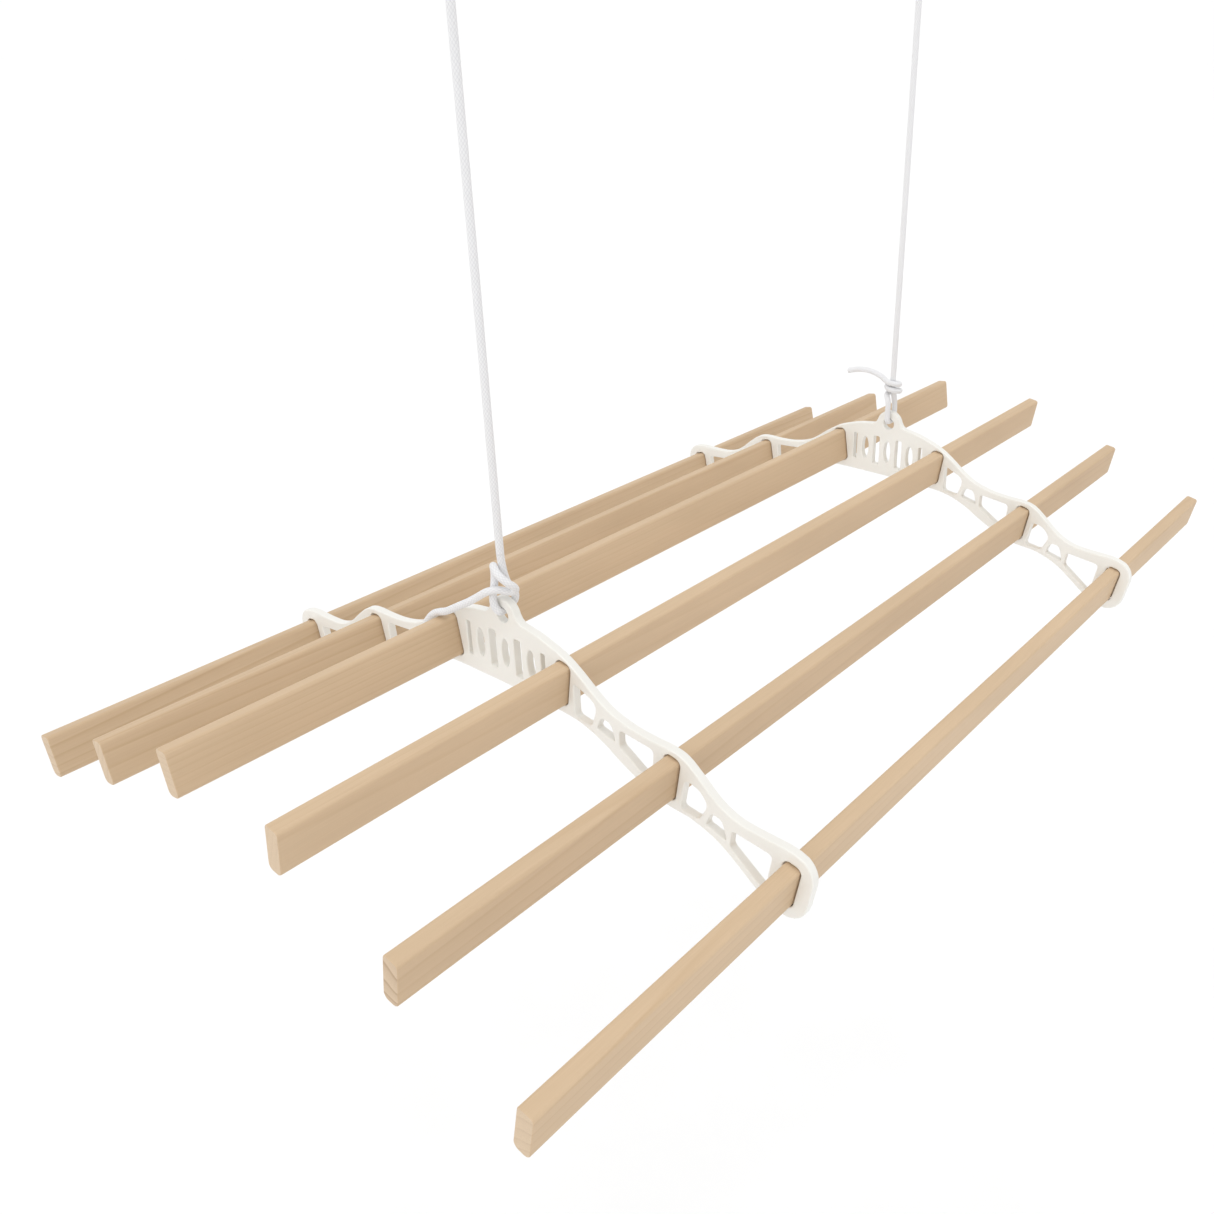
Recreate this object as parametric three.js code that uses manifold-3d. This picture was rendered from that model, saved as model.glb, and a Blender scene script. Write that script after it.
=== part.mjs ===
// Ceiling mounted pulley rack: six wooden laths in two cast rack ends, hung on two cords
// that run over a single and a double ceiling pulley.
// Millimetres. X runs across the laths, Y along them, +Z is up.
// The origin is on the ceiling plane, over the middle of the rack, which hangs at its lowest.
import * as THREE from 'three';
import * as BufferGeometryUtils from 'three/addons/utils/BufferGeometryUtils.js';
import Module from 'manifold-3d';

const wasm = await Module();
wasm.setup();

// ---- Driving dimensions ----
const DROP = 735; // ceiling plane down to the middle of the two inner laths
const GAP = 0.3; // clearance between pieces that touch

const LATH_HEIGHT = 45;
const LATH_WIDTH = 16.5;
const LATH_EDGE_RADIUS = 5.5;
const LATH_LENGTH = 1310;
// Half of the lath stations, from the middle outwards: across, above the inner laths, lean in degrees.
const STATIONS = [
  { x: 76, z: 0, lean: 8.7 },
  { x: 206, z: -46.8, lean: 9.5 },
  { x: 334.5, z: -96.9, lean: 11.3 },
];

const END_SPAN = 354; // middle of the rack to the middle of each rack end
const END_THICKNESS = 9;
const SLOT_CLEARANCE = 1;
const SLOT_RADIUS = LATH_EDGE_RADIUS + SLOT_CLEARANCE;
const NOSE_RADIUS = 23; // rounding of the metal round the outer laths
const NOSE_REACH = 12.5; // its centres, above and below the middle of the outer lath
const NOSE_SHOULDER = 0.6; // where that rounding meets the upper edge, in radians from upright

const EYE_HEIGHT = 46; // middle of the cord hole above the inner laths
const EYE_HOLE_RADIUS = 8;
const EYE_RADIUS = 18;

const CORD_DIAMETER = 7.5;
const CORD_RADIUS = CORD_DIAMETER / 2;
const CORD_SIDES = 8;

const SHEAVE_RADIUS = 22;
const SHEAVE_WIDTH = 12;
const PITCH_RADIUS = 18.25; // axle to the middle of the cord
const GROOVE_RADIUS = CORD_RADIUS + 0.6;
const AXLE_DROP = 44; // ceiling plane down to the sheave axles
const AXLE_RADIUS = 4;
const AXLE_HEAD_RADIUS = 6.5;
const AXLE_HEAD_THICKNESS = 2;
const AXLE_CLEARANCE = 0.3;

const PLATE_THICKNESS = 4;
const PLATE_LENGTH = 90;
const PLATE_MARGIN = 9; // plate beyond the outer cheeks
const SCREW_SPACING = 68;
const SCREW_HOLE_RADIUS = 2.6;
const CHEEK_THICKNESS = 3;
const CHEEK_GAP = 0.6; // between a sheave and its cheek
const CHEEK_TOP_WIDTH = 40;
const CHEEK_TIP_RADIUS = 12;
const SHEAVE_PITCH = SHEAVE_WIDTH + 2 * CHEEK_GAP + CHEEK_THICKNESS;

const WRAP_RADIUS = CORD_RADIUS + 1.5 * GAP; // middle of the cord to the edge of the eye that it bends round
const EYE_CORD_HEIGHT = EYE_HEIGHT + EYE_HOLE_RADIUS - WRAP_RADIUS;
const KNOT_BOTTOM = 74;
const KNOT_TOP = 108;

// ---- Materials ----
const paint = new THREE.MeshStandardMaterial({ color: 0xf4f1e6, roughness: 0.45, metalness: 0 });
const pine = new THREE.MeshStandardMaterial({ color: 0xd7b78f, roughness: 0.6, metalness: 0 });
const cotton = new THREE.MeshStandardMaterial({ color: 0xf1f1f3, roughness: 0.9, metalness: 0 });
const steel = new THREE.MeshStandardMaterial({ color: 0xb9bbbd, roughness: 0.35, metalness: 1 });

const rack = new THREE.Group();

function addPiece(name, geometry, material, position = [0, 0, 0], rotation = [0, 0, 0]) {
  const mesh = new THREE.Mesh(geometry, material);
  mesh.name = name;
  mesh.position.set(...position);
  mesh.rotation.set(...rotation);
  rack.add(mesh);
  return mesh;
}

// ---- Solid helpers ----
function toSolid(geometry) {
  let plain = geometry.clone();
  plain.deleteAttribute('normal');
  plain.deleteAttribute('uv');
  plain = BufferGeometryUtils.mergeVertices(plain, 1e-4);
  return new wasm.Manifold(new wasm.Mesh({
    numProp: 3,
    vertProperties: new Float32Array(plain.attributes.position.array),
    triVerts: new Uint32Array(plain.index.array),
  }));
}

function toGeometry(solid) {
  const mesh = solid.getMesh();
  const geometry = new THREE.BufferGeometry();
  geometry.setAttribute('position', new THREE.BufferAttribute(mesh.vertProperties, 3));
  geometry.setIndex(new THREE.BufferAttribute(mesh.triVerts, 1));
  geometry.computeVertexNormals();
  return geometry;
}

// A flat outline, made solid both ways from its own plane.
function plate(outline, thickness) {
  const geometry = new THREE.ExtrudeGeometry(outline, { depth: thickness, bevelEnabled: false });
  geometry.translate(0, 0, -thickness / 2);
  return geometry;
}

// The same, standing up: the outline's x stays across and its y becomes up.
function uprightPlate(outline, thickness) {
  return plate(outline, thickness).rotateX(Math.PI / 2);
}

// A closed outline through corners [x, y, radius], each rounded by a curve that starts that far from it.
function roundedOutline(corners) {
  const outline = new THREE.Path();
  corners.forEach(([x, y, radius], i) => {
    const here = new THREE.Vector2(x, y);
    const before = new THREE.Vector2(...corners.at(i - 1));
    const after = new THREE.Vector2(...corners[(i + 1) % corners.length]);
    const enter = here.clone().add(before.sub(here).setLength(radius));
    const leave = here.clone().add(after.sub(here).setLength(radius));
    if (i === 0) outline.moveTo(enter.x, enter.y);
    else outline.lineTo(enter.x, enter.y);
    outline.quadraticCurveTo(x, y, leave.x, leave.y);
  });
  outline.closePath();
  return outline;
}

function roundedBox(width, height, radius) {
  const w = width / 2;
  const h = height / 2;
  const outline = new THREE.Path();
  outline.moveTo(w, h - radius);
  outline.absarc(w - radius, h - radius, radius, 0, Math.PI / 2, false);
  outline.absarc(radius - w, h - radius, radius, Math.PI / 2, Math.PI, false);
  outline.absarc(radius - w, radius - h, radius, Math.PI, 1.5 * Math.PI, false);
  outline.absarc(w - radius, radius - h, radius, 1.5 * Math.PI, 2 * Math.PI, false);
  outline.closePath();
  return outline;
}

// The outline's points with none twice over, so that the solid made from it closes.
function distinctPoints(outline, divisions) {
  const points = outline.getPoints(divisions);
  return points.filter((p, i) => p.distanceTo(points.at(i - 1)) > 0.01);
}

function circle(x, y, radius, divisions) {
  const outline = new THREE.Path();
  outline.absarc(x, y, radius, 0, 2 * Math.PI, false);
  return new THREE.Path(distinctPoints(outline, divisions));
}

function turned(outline, degrees, x, y, divisions = 3) {
  const angle = THREE.MathUtils.degToRad(degrees);
  const points = distinctPoints(outline, divisions).map((p) => p.rotateAround(new THREE.Vector2(), angle));
  return new THREE.Path(points.map((p) => new THREE.Vector2(p.x + x, p.y + y)));
}

function mirrored(outline) {
  const points = distinctPoints(outline, 1).map((p) => new THREE.Vector2(-p.x, p.y));
  return new THREE.Path(points.reverse());
}

// A cord along a path of its own.
function cordAlong(path, steps) {
  const section = new THREE.Shape();
  for (let i = 0; i < CORD_SIDES; i += 1) {
    const angle = (2 * Math.PI * i) / CORD_SIDES;
    const point = [CORD_RADIUS * Math.cos(angle), CORD_RADIUS * Math.sin(angle)];
    if (i === 0) section.moveTo(...point);
    else section.lineTo(...point);
  }
  section.closePath();
  return new THREE.ExtrudeGeometry(section, { steps, bevelEnabled: false, extrudePath: path });
}

function curveThrough(points) {
  return new THREE.CatmullRomCurve3(points.map((p) => new THREE.Vector3(...p)), false, 'centripetal');
}

// ---- Rack ends ----
// Right half of the upper edge, from the foot of the eye out to the last slot.
const UPPER_EDGE = [
  [31, 41.5], [46, 39], [61, 34.6], [74, 30.2], [86, 24.6], [101, 14.7], [118, 2], [134, -7.4], [151, -12.8],
  [168, -15.8], [188, -17], [208, -17.2], [223, -21], [238, -32], [253, -44.9], [267, -53.9], [282, -59],
  [298, -60.6], [317, -61],
];
// Right half of the lower edge, from the last slot back to the middle.
const LOWER_EDGE = [
  [315, -127.5], [299, -117.5], [281, -103.9], [265, -93], [249, -85.7], [229, -80.3], [205, -78.6],
  [185, -74.2], [167, -66.6], [145, -55.6], [127, -45.2], [108, -37.7], [90, -33.5], [70, -32], [35, -31.3],
  [0, -31],
];

// Right-hand cut-outs between the slots: corners with the reach of their rounding.
const CUT_OUTS = [
  [[91.5, 5.5, 5], [120.5, -7, 10], [112, -33, 6], [91.5, -30.5, 5]],
  [[118.5, -32.5, 3], [124.5, -18, 6], [136.5, -19, 7], [141.5, -37.5, 3]],
  [[147, -22.5, 4], [187.5, -26.5, 5], [184, -63.5, 5], [146.5, -40, 4]],
  [[224, -42, 5], [239.5, -44.5, 7], [249, -57.5, 6], [238.5, -77, 5], [217.5, -74.5, 4]],
  [[246.5, -78.5, 3], [252, -63.5, 6], [264, -64, 7], [269.5, -84.5, 3]],
  [[275.5, -71, 4], [318, -75.5, 5], [310.5, -116.5, 5], [273, -89, 4]],
];

// Small upright slots around the middle of the rack end: across, width, bottom, top, oval or straight.
const MIDDLE_SLOTS = [
  { x: 0, width: 10.5, bottom: -11, top: 20, oval: true },
  { x: 17.7, width: 9.5, bottom: -17, top: 24.5, oval: false },
  { x: 35.4, width: 10.5, bottom: -12, top: 20, oval: true },
  { x: 52, width: 5, bottom: -15, top: 22, oval: false },
];

function middleSlot({ x, width, bottom, top, oval }) {
  const middle = (bottom + top) / 2;
  const slot = new THREE.Path();
  if (oval) {
    slot.absellipse(x, middle, width / 2, (top - bottom) / 2, 0, 2 * Math.PI, false);
    return new THREE.Path(distinctPoints(slot, 8));
  }
  return turned(roundedBox(width, top - bottom, width / 4), 0, x, middle, 2);
}

function rackEndOutline() {
  const last = STATIONS.at(-1);
  const lean = THREE.MathUtils.degToRad(last.lean);
  const upper = [last.x + NOSE_REACH * Math.sin(lean), last.z + NOSE_REACH * Math.cos(lean)];
  const lower = [last.x - NOSE_REACH * Math.sin(lean), last.z - NOSE_REACH * Math.cos(lean)];
  const hipAngle = Math.asin(4 / EYE_RADIUS);

  const half = new THREE.Path();
  half.moveTo(0, EYE_HEIGHT + EYE_RADIUS);
  half.absarc(0, EYE_HEIGHT, EYE_RADIUS, Math.PI / 2, hipAngle, true);
  half.quadraticCurveTo(21, UPPER_EDGE[0][1], ...UPPER_EDGE[0]);
  half.splineThru(UPPER_EDGE.slice(1).map((p) => new THREE.Vector2(...p)));
  const shoulder = [NOSE_RADIUS * Math.sin(NOSE_SHOULDER), NOSE_RADIUS * Math.cos(NOSE_SHOULDER)];
  half.quadraticCurveTo(
    upper[0] + 3, upper[1] + NOSE_RADIUS + 1.5,
    upper[0] + shoulder[0], upper[1] + shoulder[1],
  );
  half.absarc(upper[0], upper[1], NOSE_RADIUS, Math.PI / 2 - NOSE_SHOULDER, -lean, true);
  half.absarc(lower[0], lower[1], NOSE_RADIUS, -lean, -Math.PI / 2 - 0.45, true);
  half.splineThru(LOWER_EDGE.map((p) => new THREE.Vector2(...p)));

  const right = distinctPoints(half, 3);
  const left = right.slice(1, -1).reverse().map((p) => new THREE.Vector2(-p.x, p.y));
  return new THREE.Shape([...right, ...left].reverse());
}

function rackEndGeometry() {
  const outline = rackEndOutline();
  outline.holes.push(circle(0, EYE_HEIGHT, EYE_HOLE_RADIUS, 10));

  for (const { x, z, lean } of STATIONS) {
    const slot = roundedBox(LATH_WIDTH + 2 * SLOT_CLEARANCE, LATH_HEIGHT + 2 * SLOT_CLEARANCE, SLOT_RADIUS);
    const right = turned(slot, -lean, x, z);
    outline.holes.push(right, mirrored(right));
  }
  for (const slot of MIDDLE_SLOTS) {
    const right = middleSlot(slot);
    outline.holes.push(right);
    if (slot.x > 0) outline.holes.push(mirrored(right));
  }
  for (const corners of CUT_OUTS) {
    const right = turned(roundedOutline(corners), 0, 0, 0);
    outline.holes.push(right, mirrored(right));
  }
  return uprightPlate(outline, END_THICKNESS);
}

addPiece('near_rack_end', rackEndGeometry(), paint, [0, -END_SPAN, -DROP]);
addPiece('far_rack_end', rackEndGeometry(), paint, [0, END_SPAN, -DROP]);

// ---- Laths ----
// Numbered from the left. Each rests on the bottom of its slot.
const lathSection = new THREE.Shape(distinctPoints(roundedBox(LATH_WIDTH, LATH_HEIGHT, LATH_EDGE_RADIUS), 4));
const allStations = [
  ...STATIONS.map(({ x, z, lean }) => ({ x: -x, z, lean: -lean })).reverse(),
  ...STATIONS,
];
allStations.forEach(({ x, z, lean }, i) => {
  const angle = THREE.MathUtils.degToRad(lean);
  const sink = SLOT_CLEARANCE - GAP;
  const position = [x - sink * Math.sin(angle), 0, -DROP + z - sink * Math.cos(angle)];
  addPiece(`lath_${i + 1}`, uprightPlate(lathSection, LATH_LENGTH), pine, position, [0, angle, 0]);
});

// ---- Knots at the rack ends ----
// The cord passes through the eye, up both faces of the rack end, and is tied above it.
function knotGeometry() {
  const face = END_THICKNESS / 2;
  const leg = face + WRAP_RADIUS;
  const slant = WRAP_RADIUS * Math.SQRT1_2;
  const edge = EYE_HEIGHT + EYE_HOLE_RADIUS;
  const half = [
    [0, face, EYE_CORD_HEIGHT], [0, face + slant, edge - slant], [0, leg, edge], [0, leg, edge + 8],
    [0, leg, KNOT_BOTTOM - 4], [0, leg - 2, KNOT_BOTTOM + 4],
  ];
  const otherHalf = half.map(([x, y, z]) => [x, -y, z]).reverse();
  const loop = curveThrough([...otherHalf, [0, 0, EYE_CORD_HEIGHT], ...half]);
  const middle = (KNOT_TOP + KNOT_BOTTOM) / 2;
  const lump = new THREE.SphereGeometry(1, 14, 9);
  lump.scale(14, 12, (KNOT_TOP - KNOT_BOTTOM) / 2);
  lump.translate(0, 0, middle);
  return toGeometry(toSolid(cordAlong(loop, 30)).add(toSolid(lump)));
}

// ---- Free tails of the knots ----
// The near one lies over the rack, so it starts clear of the knot by what the rack can tip.
const NEAR_TAIL = [
  [-23, -13, 61], [-33, -15.5, 54], [-46, -16.5, 46], [-58, -16.3, 38.5], [-69, -16, 32], [-80, -15.5, 27.3],
  [-90, -15, 22], [-99, -15, 13.5], [-106, -15, 4], [-111, -15, -6],
];
const FAR_TAIL = [
  [-12, 0, 105.5], [-18, 1, 108.6], [-27, 2, 111.5], [-37, 2.5, 113.3], [-47, 3.3, 113.3], [-56, 4, 112.3],
  [-65, 4.5, 110], [-74, 5, 107],
];

// ---- Cords up to the ceiling ----
const axleZ = -AXLE_DROP;
const dropBottom = -DROP + KNOT_TOP + GAP;
const LEAD = 6; // straight cord below the turn over a sheave
const dropTop = axleZ - LEAD - GAP;

function dropGeometry() {
  const path = new THREE.LineCurve3(new THREE.Vector3(0, 0, dropBottom), new THREE.Vector3(0, 0, dropTop));
  return cordAlong(path, 28);
}

function leadIn(sheaveY) {
  return [[0, sheaveY + PITCH_RADIUS, axleZ - LEAD], [0, sheaveY + PITCH_RADIUS, axleZ - LEAD / 2]];
}

// Points of the cord's turn over a sheave, from its rising side, by degrees.
function turnOver(x, sheaveY, from, to, steps) {
  const points = [];
  for (let i = 0; i <= steps; i += 1) {
    const angle = THREE.MathUtils.degToRad(from + ((to - from) * i) / steps);
    points.push([x, sheaveY + PITCH_RADIUS * Math.cos(angle), axleZ + PITCH_RADIUS * Math.sin(angle)]);
  }
  return points;
}

const nearSheaveY = -END_SPAN - PITCH_RADIUS;
const farSheaveY = END_SPAN - PITCH_RADIUS;
const LEAVING = 120; // degrees round the near sheaves at which the cords leave them
const STRAIGHT = 12; // how far a cord keeps to its sheave's plane before it bends aside
const JOIN = [SHEAVE_PITCH / 2, nearSheaveY - 62, axleZ - 12]; // middle of the knot that joins the cords
const JOIN_RADIUS = 13;

function towardsJoin(x) {
  const angle = THREE.MathUtils.degToRad(LEAVING);
  const [start] = turnOver(x, nearSheaveY, LEAVING, LEAVING, 1);
  const along = new THREE.Vector3(0, -Math.sin(angle), Math.cos(angle));
  const straight = [1, 2].map((n) => new THREE.Vector3(...start).addScaledVector(along, n * STRAIGHT));
  const end = new THREE.Vector3(JOIN[0] + (x - JOIN[0]) * 0.6, JOIN[1], JOIN[2]);
  const direction = end.clone().sub(straight[1]).normalize();
  const stop = end.addScaledVector(direction, -(JOIN_RADIUS + GAP + 1.5));
  return [...straight, stop].map((p) => p.toArray());
}

function nearHaul() {
  return [...leadIn(nearSheaveY), ...turnOver(0, nearSheaveY, 0, LEAVING, 8), ...towardsJoin(0)];
}

function farHaul() {
  const height = axleZ + PITCH_RADIUS;
  const from = farSheaveY - STRAIGHT;
  const to = nearSheaveY + STRAIGHT;
  const across = [0, 0.25, 0.5, 0.75, 1].map((t) => [SHEAVE_PITCH * t, from + (to - from) * t, height]);
  return [
    ...leadIn(farSheaveY),
    ...turnOver(0, farSheaveY, 0, 90, 6),
    ...across,
    ...turnOver(SHEAVE_PITCH, nearSheaveY, 90, LEAVING, 2),
    ...towardsJoin(SHEAVE_PITCH),
  ];
}

// ---- Pulleys ----
function sheaveGeometry() {
  const profile = [];
  const rim = SHEAVE_WIDTH / 2;
  profile.push(new THREE.Vector2(AXLE_RADIUS + AXLE_CLEARANCE, -rim));
  profile.push(new THREE.Vector2(SHEAVE_RADIUS, -rim));
  profile.push(new THREE.Vector2(SHEAVE_RADIUS, 0.6 - rim));
  for (let i = 0; i <= 4; i += 1) {
    const angle = -Math.PI / 2 + (Math.PI * i) / 4;
    profile.push(new THREE.Vector2(PITCH_RADIUS - GROOVE_RADIUS * Math.cos(angle), GROOVE_RADIUS * Math.sin(angle)));
  }
  profile.push(new THREE.Vector2(SHEAVE_RADIUS, rim - 0.6));
  profile.push(new THREE.Vector2(SHEAVE_RADIUS, rim));
  profile.push(new THREE.Vector2(AXLE_RADIUS + AXLE_CLEARANCE, rim));
  profile.push(profile[0].clone());
  return new THREE.LatheGeometry(profile, 26);
}

function axleGeometry(length) {
  const half = length / 2;
  const head = half + GAP + AXLE_HEAD_THICKNESS;
  const profile = [
    [0, -head], [AXLE_HEAD_RADIUS - 1, -head], [AXLE_HEAD_RADIUS, -head + 1], [AXLE_HEAD_RADIUS, -half - GAP],
    [AXLE_RADIUS, -half - GAP], [AXLE_RADIUS, half + GAP], [AXLE_HEAD_RADIUS, half + GAP],
    [AXLE_HEAD_RADIUS, head - 1], [AXLE_HEAD_RADIUS - 1, head], [0, head],
  ];
  return new THREE.LatheGeometry(profile.map((p) => new THREE.Vector2(...p)), 16);
}

// One cheek hangs from the plate down around the axle, and stands across X.
function cheekGeometry() {
  const outline = new THREE.Path();
  const top = AXLE_DROP - PLATE_THICKNESS / 2;
  outline.moveTo(-CHEEK_TOP_WIDTH / 2, top);
  outline.lineTo(-CHEEK_TOP_WIDTH / 2, top - 5);
  outline.quadraticCurveTo(-CHEEK_TIP_RADIUS, top - 14, -CHEEK_TIP_RADIUS, 0);
  outline.absarc(0, 0, CHEEK_TIP_RADIUS, Math.PI, 2 * Math.PI, false);
  outline.quadraticCurveTo(CHEEK_TIP_RADIUS, top - 14, CHEEK_TOP_WIDTH / 2, top - 5);
  outline.lineTo(CHEEK_TOP_WIDTH / 2, top);
  const cheek = new THREE.Shape(distinctPoints(outline, 6));
  cheek.holes.push(circle(0, 0, AXLE_RADIUS + AXLE_CLEARANCE, 12));
  return uprightPlate(cheek, CHEEK_THICKNESS).rotateZ(Math.PI / 2);
}

// A plate screwed to the ceiling with a cheek on each side of every sheave, cast as one.
function bracketGeometry(sheaves) {
  const middle = ((sheaves - 1) * SHEAVE_PITCH) / 2;
  const width = sheaves * SHEAVE_PITCH + CHEEK_THICKNESS + 2 * PLATE_MARGIN;
  const outline = new THREE.Shape(distinctPoints(roundedBox(width, PLATE_LENGTH, 8), 5));
  for (const side of [-1, 1]) {
    outline.holes.push(circle(0, (side * SCREW_SPACING) / 2, SCREW_HOLE_RADIUS, 8));
  }
  const base = plate(outline, PLATE_THICKNESS);
  base.translate(middle, 0, AXLE_DROP - PLATE_THICKNESS / 2);
  let bracket = toSolid(base);
  for (let i = 0; i <= sheaves; i += 1) {
    const cheek = cheekGeometry();
    cheek.translate((i - 0.5) * SHEAVE_PITCH, 0, 0);
    bracket = bracket.add(toSolid(cheek));
  }
  return toGeometry(bracket);
}

function addPulley(name, sheaveNames, y) {
  const count = sheaveNames.length;
  const middle = ((count - 1) * SHEAVE_PITCH) / 2;
  const across = [0, 0, -Math.PI / 2];
  addPiece(`${name}_bracket`, bracketGeometry(count), paint, [0, y, axleZ]);
  addPiece(`${name}_axle`, axleGeometry(count * SHEAVE_PITCH + CHEEK_THICKNESS), steel, [middle, y, axleZ], across);
  sheaveNames.forEach((sheave, i) => {
    addPiece(sheave, sheaveGeometry(), paint, [i * SHEAVE_PITCH, y, axleZ], across);
  });
}

addPulley('single_pulley', ['single_pulley_sheave'], farSheaveY);
addPulley('double_pulley', ['double_pulley_sheave_near', 'double_pulley_sheave_far'], nearSheaveY);

// ---- Cords, knots and tails in place ----
addPiece('near_eye_knot', knotGeometry(), cotton, [0, -END_SPAN, -DROP]);
addPiece('far_eye_knot', knotGeometry(), cotton, [0, END_SPAN, -DROP]);
addPiece('near_tail', cordAlong(curveThrough(NEAR_TAIL), 14), cotton, [0, -END_SPAN, -DROP]);
addPiece('far_tail', cordAlong(curveThrough(FAR_TAIL), 8), cotton, [0, END_SPAN, -DROP]);
addPiece('near_drop_cord', dropGeometry(), cotton, [0, -END_SPAN, 0]);
addPiece('far_drop_cord', dropGeometry(), cotton, [0, END_SPAN, 0]);
addPiece('near_haul_cord', cordAlong(curveThrough(nearHaul()), 16), cotton);
addPiece('far_haul_cord', cordAlong(curveThrough(farHaul()), 80), cotton);

const joiningKnot = new THREE.SphereGeometry(JOIN_RADIUS, 12, 8);
addPiece('joining_knot', joiningKnot, cotton, JOIN);

export default rack;
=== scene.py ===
"""Ceiling mounted pulley rack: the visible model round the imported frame.

Metres, in the CAD frame: X across the laths, Y along them, +Z up, origin on the ceiling.
Lengths written in millimetres are turned into metres by mm().
"""

import math

import bmesh
import bpy
import numpy as np
from mathutils.geometry import tessellate_polygon
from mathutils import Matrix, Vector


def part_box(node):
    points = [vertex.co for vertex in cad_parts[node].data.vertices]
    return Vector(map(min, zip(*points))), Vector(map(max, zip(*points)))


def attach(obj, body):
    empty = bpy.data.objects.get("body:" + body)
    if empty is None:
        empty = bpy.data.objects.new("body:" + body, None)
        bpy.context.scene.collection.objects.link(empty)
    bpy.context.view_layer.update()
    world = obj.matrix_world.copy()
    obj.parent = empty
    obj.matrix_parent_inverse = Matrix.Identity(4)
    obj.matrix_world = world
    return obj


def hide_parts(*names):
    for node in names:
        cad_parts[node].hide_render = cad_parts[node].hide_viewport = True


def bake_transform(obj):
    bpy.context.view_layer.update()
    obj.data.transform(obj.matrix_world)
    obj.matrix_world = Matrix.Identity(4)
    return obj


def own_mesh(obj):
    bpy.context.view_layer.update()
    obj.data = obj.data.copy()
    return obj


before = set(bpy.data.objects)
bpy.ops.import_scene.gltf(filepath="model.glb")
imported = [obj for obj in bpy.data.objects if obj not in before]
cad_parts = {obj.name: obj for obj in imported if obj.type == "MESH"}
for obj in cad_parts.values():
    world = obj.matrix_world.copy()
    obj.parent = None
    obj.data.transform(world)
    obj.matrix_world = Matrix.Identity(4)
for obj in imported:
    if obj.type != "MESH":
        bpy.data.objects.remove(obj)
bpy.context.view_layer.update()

# ---- Dimensions, in millimetres, as in the CAD ----
DROP = 735  # ceiling plane down to the middle of the two inner laths
GAP = 0.3  # clearance between pieces that touch
END_SPAN = 354  # middle of the rack to the middle of each rack end

LATH_HEIGHT = 45
LATH_WIDTH = 16.5
LATH_EDGE_RADIUS = 5.5
LATH_LENGTH = 1310
SLOT_CLEARANCE = 1
# Half of the lath stations, from the middle outwards: across, above the inner laths, lean in degrees.
STATIONS = [(76, 0, 8.7), (206, -46.8, 9.5), (334.5, -96.9, 11.3)]

CORD_DIAMETER = 7.5
CORD_RADIUS = CORD_DIAMETER / 2
KNOT_TOP = 108  # above the middle of the two inner laths

SHEAVE_RADIUS = 22
SHEAVE_WIDTH = 12
SHEAVE_PITCH = 16.2  # between the double pulley's sheaves
PITCH_RADIUS = 18.25  # axle to the middle of the cord
GROOVE_RADIUS = CORD_RADIUS + 0.6
SHEAVE_LIP = 0.6  # flat of the rim before the groove begins
AXLE_DROP = 44  # ceiling plane down to the sheave axles
AXLE_RADIUS = 4
AXLE_CLEARANCE = 0.3

LEAD = 6  # straight cord below the turn over a sheave
LEAVING = 120  # degrees round the near sheaves at which the cords leave them
STRAIGHT = 12  # how far a cord keeps to its sheave's plane before it bends aside
JOIN_RADIUS = 13
JOIN_SETBACK = 1.5  # how much further than GAP the cords stop from the joining knot's solid
JOIN_NARROWING = 0.6  # how much of their spacing the cords keep at that knot

axle_z = -AXLE_DROP
near_sheave_y = -END_SPAN - PITCH_RADIUS
far_sheave_y = END_SPAN - PITCH_RADIUS
JOIN = np.array([SHEAVE_PITCH / 2, near_sheave_y - 62, axle_z - 12])  # middle of the joining knot
drop_top = axle_z - LEAD - GAP
drop_bottom = -DROP + KNOT_TOP + GAP
lath_sink = SLOT_CLEARANCE - GAP

# ---- Finer shapes that only the visible pieces have, in millimetres ----
LATH_UPPER_RADIUS = 3.6
LATH_EASE = 0.9  # rounding of a lath's ends
LATH_UNEVENNESS = 0.12
LATH_WAVES = 4
LATH_WAVE_LENGTH = 170  # over which the first wave turns through a radian
CAST_EDGE = 1.4  # rounding of a rack end's edges
CAP_TURNS = (30, 60, 80)  # degrees of rounding at a cord's cut end, ring by ring
CAP_DEPTH = 0.35  # how far that rounding reaches, in cord radii
KNOT_TIGHTNESS = 0.985  # the cord's thickness in a knot, against its own
BRAID_STRANDS = 8
BRAID_PITCH = 4.4
WRAP_HALF_WIDTH = 11.6  # the joining knot's turns, to the middle of their cord
WRAP_HALF_HEIGHT = 7.9
WRAP_LENGTH = 21


def mm(points):
    """Millimetres as metres, the unit of the scene."""
    return np.asarray(points, float) / 1000


# ---- Camera ----
camera_data = bpy.data.cameras.new("camera")
camera_data.lens = 33.8
camera_data.sensor_width = 36
camera_data.shift_x = -0.0992
camera_data.shift_y = -0.0462
camera_data.clip_end = 50
camera = bpy.data.objects.new("camera", camera_data)
camera.location = (0.7495, -0.9745, -0.1747)
camera.rotation_euler = [math.radians(a) for a in (64.75, -0.22, 38.03)]
bpy.context.scene.collection.objects.link(camera)
bpy.context.scene.camera = camera


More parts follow.
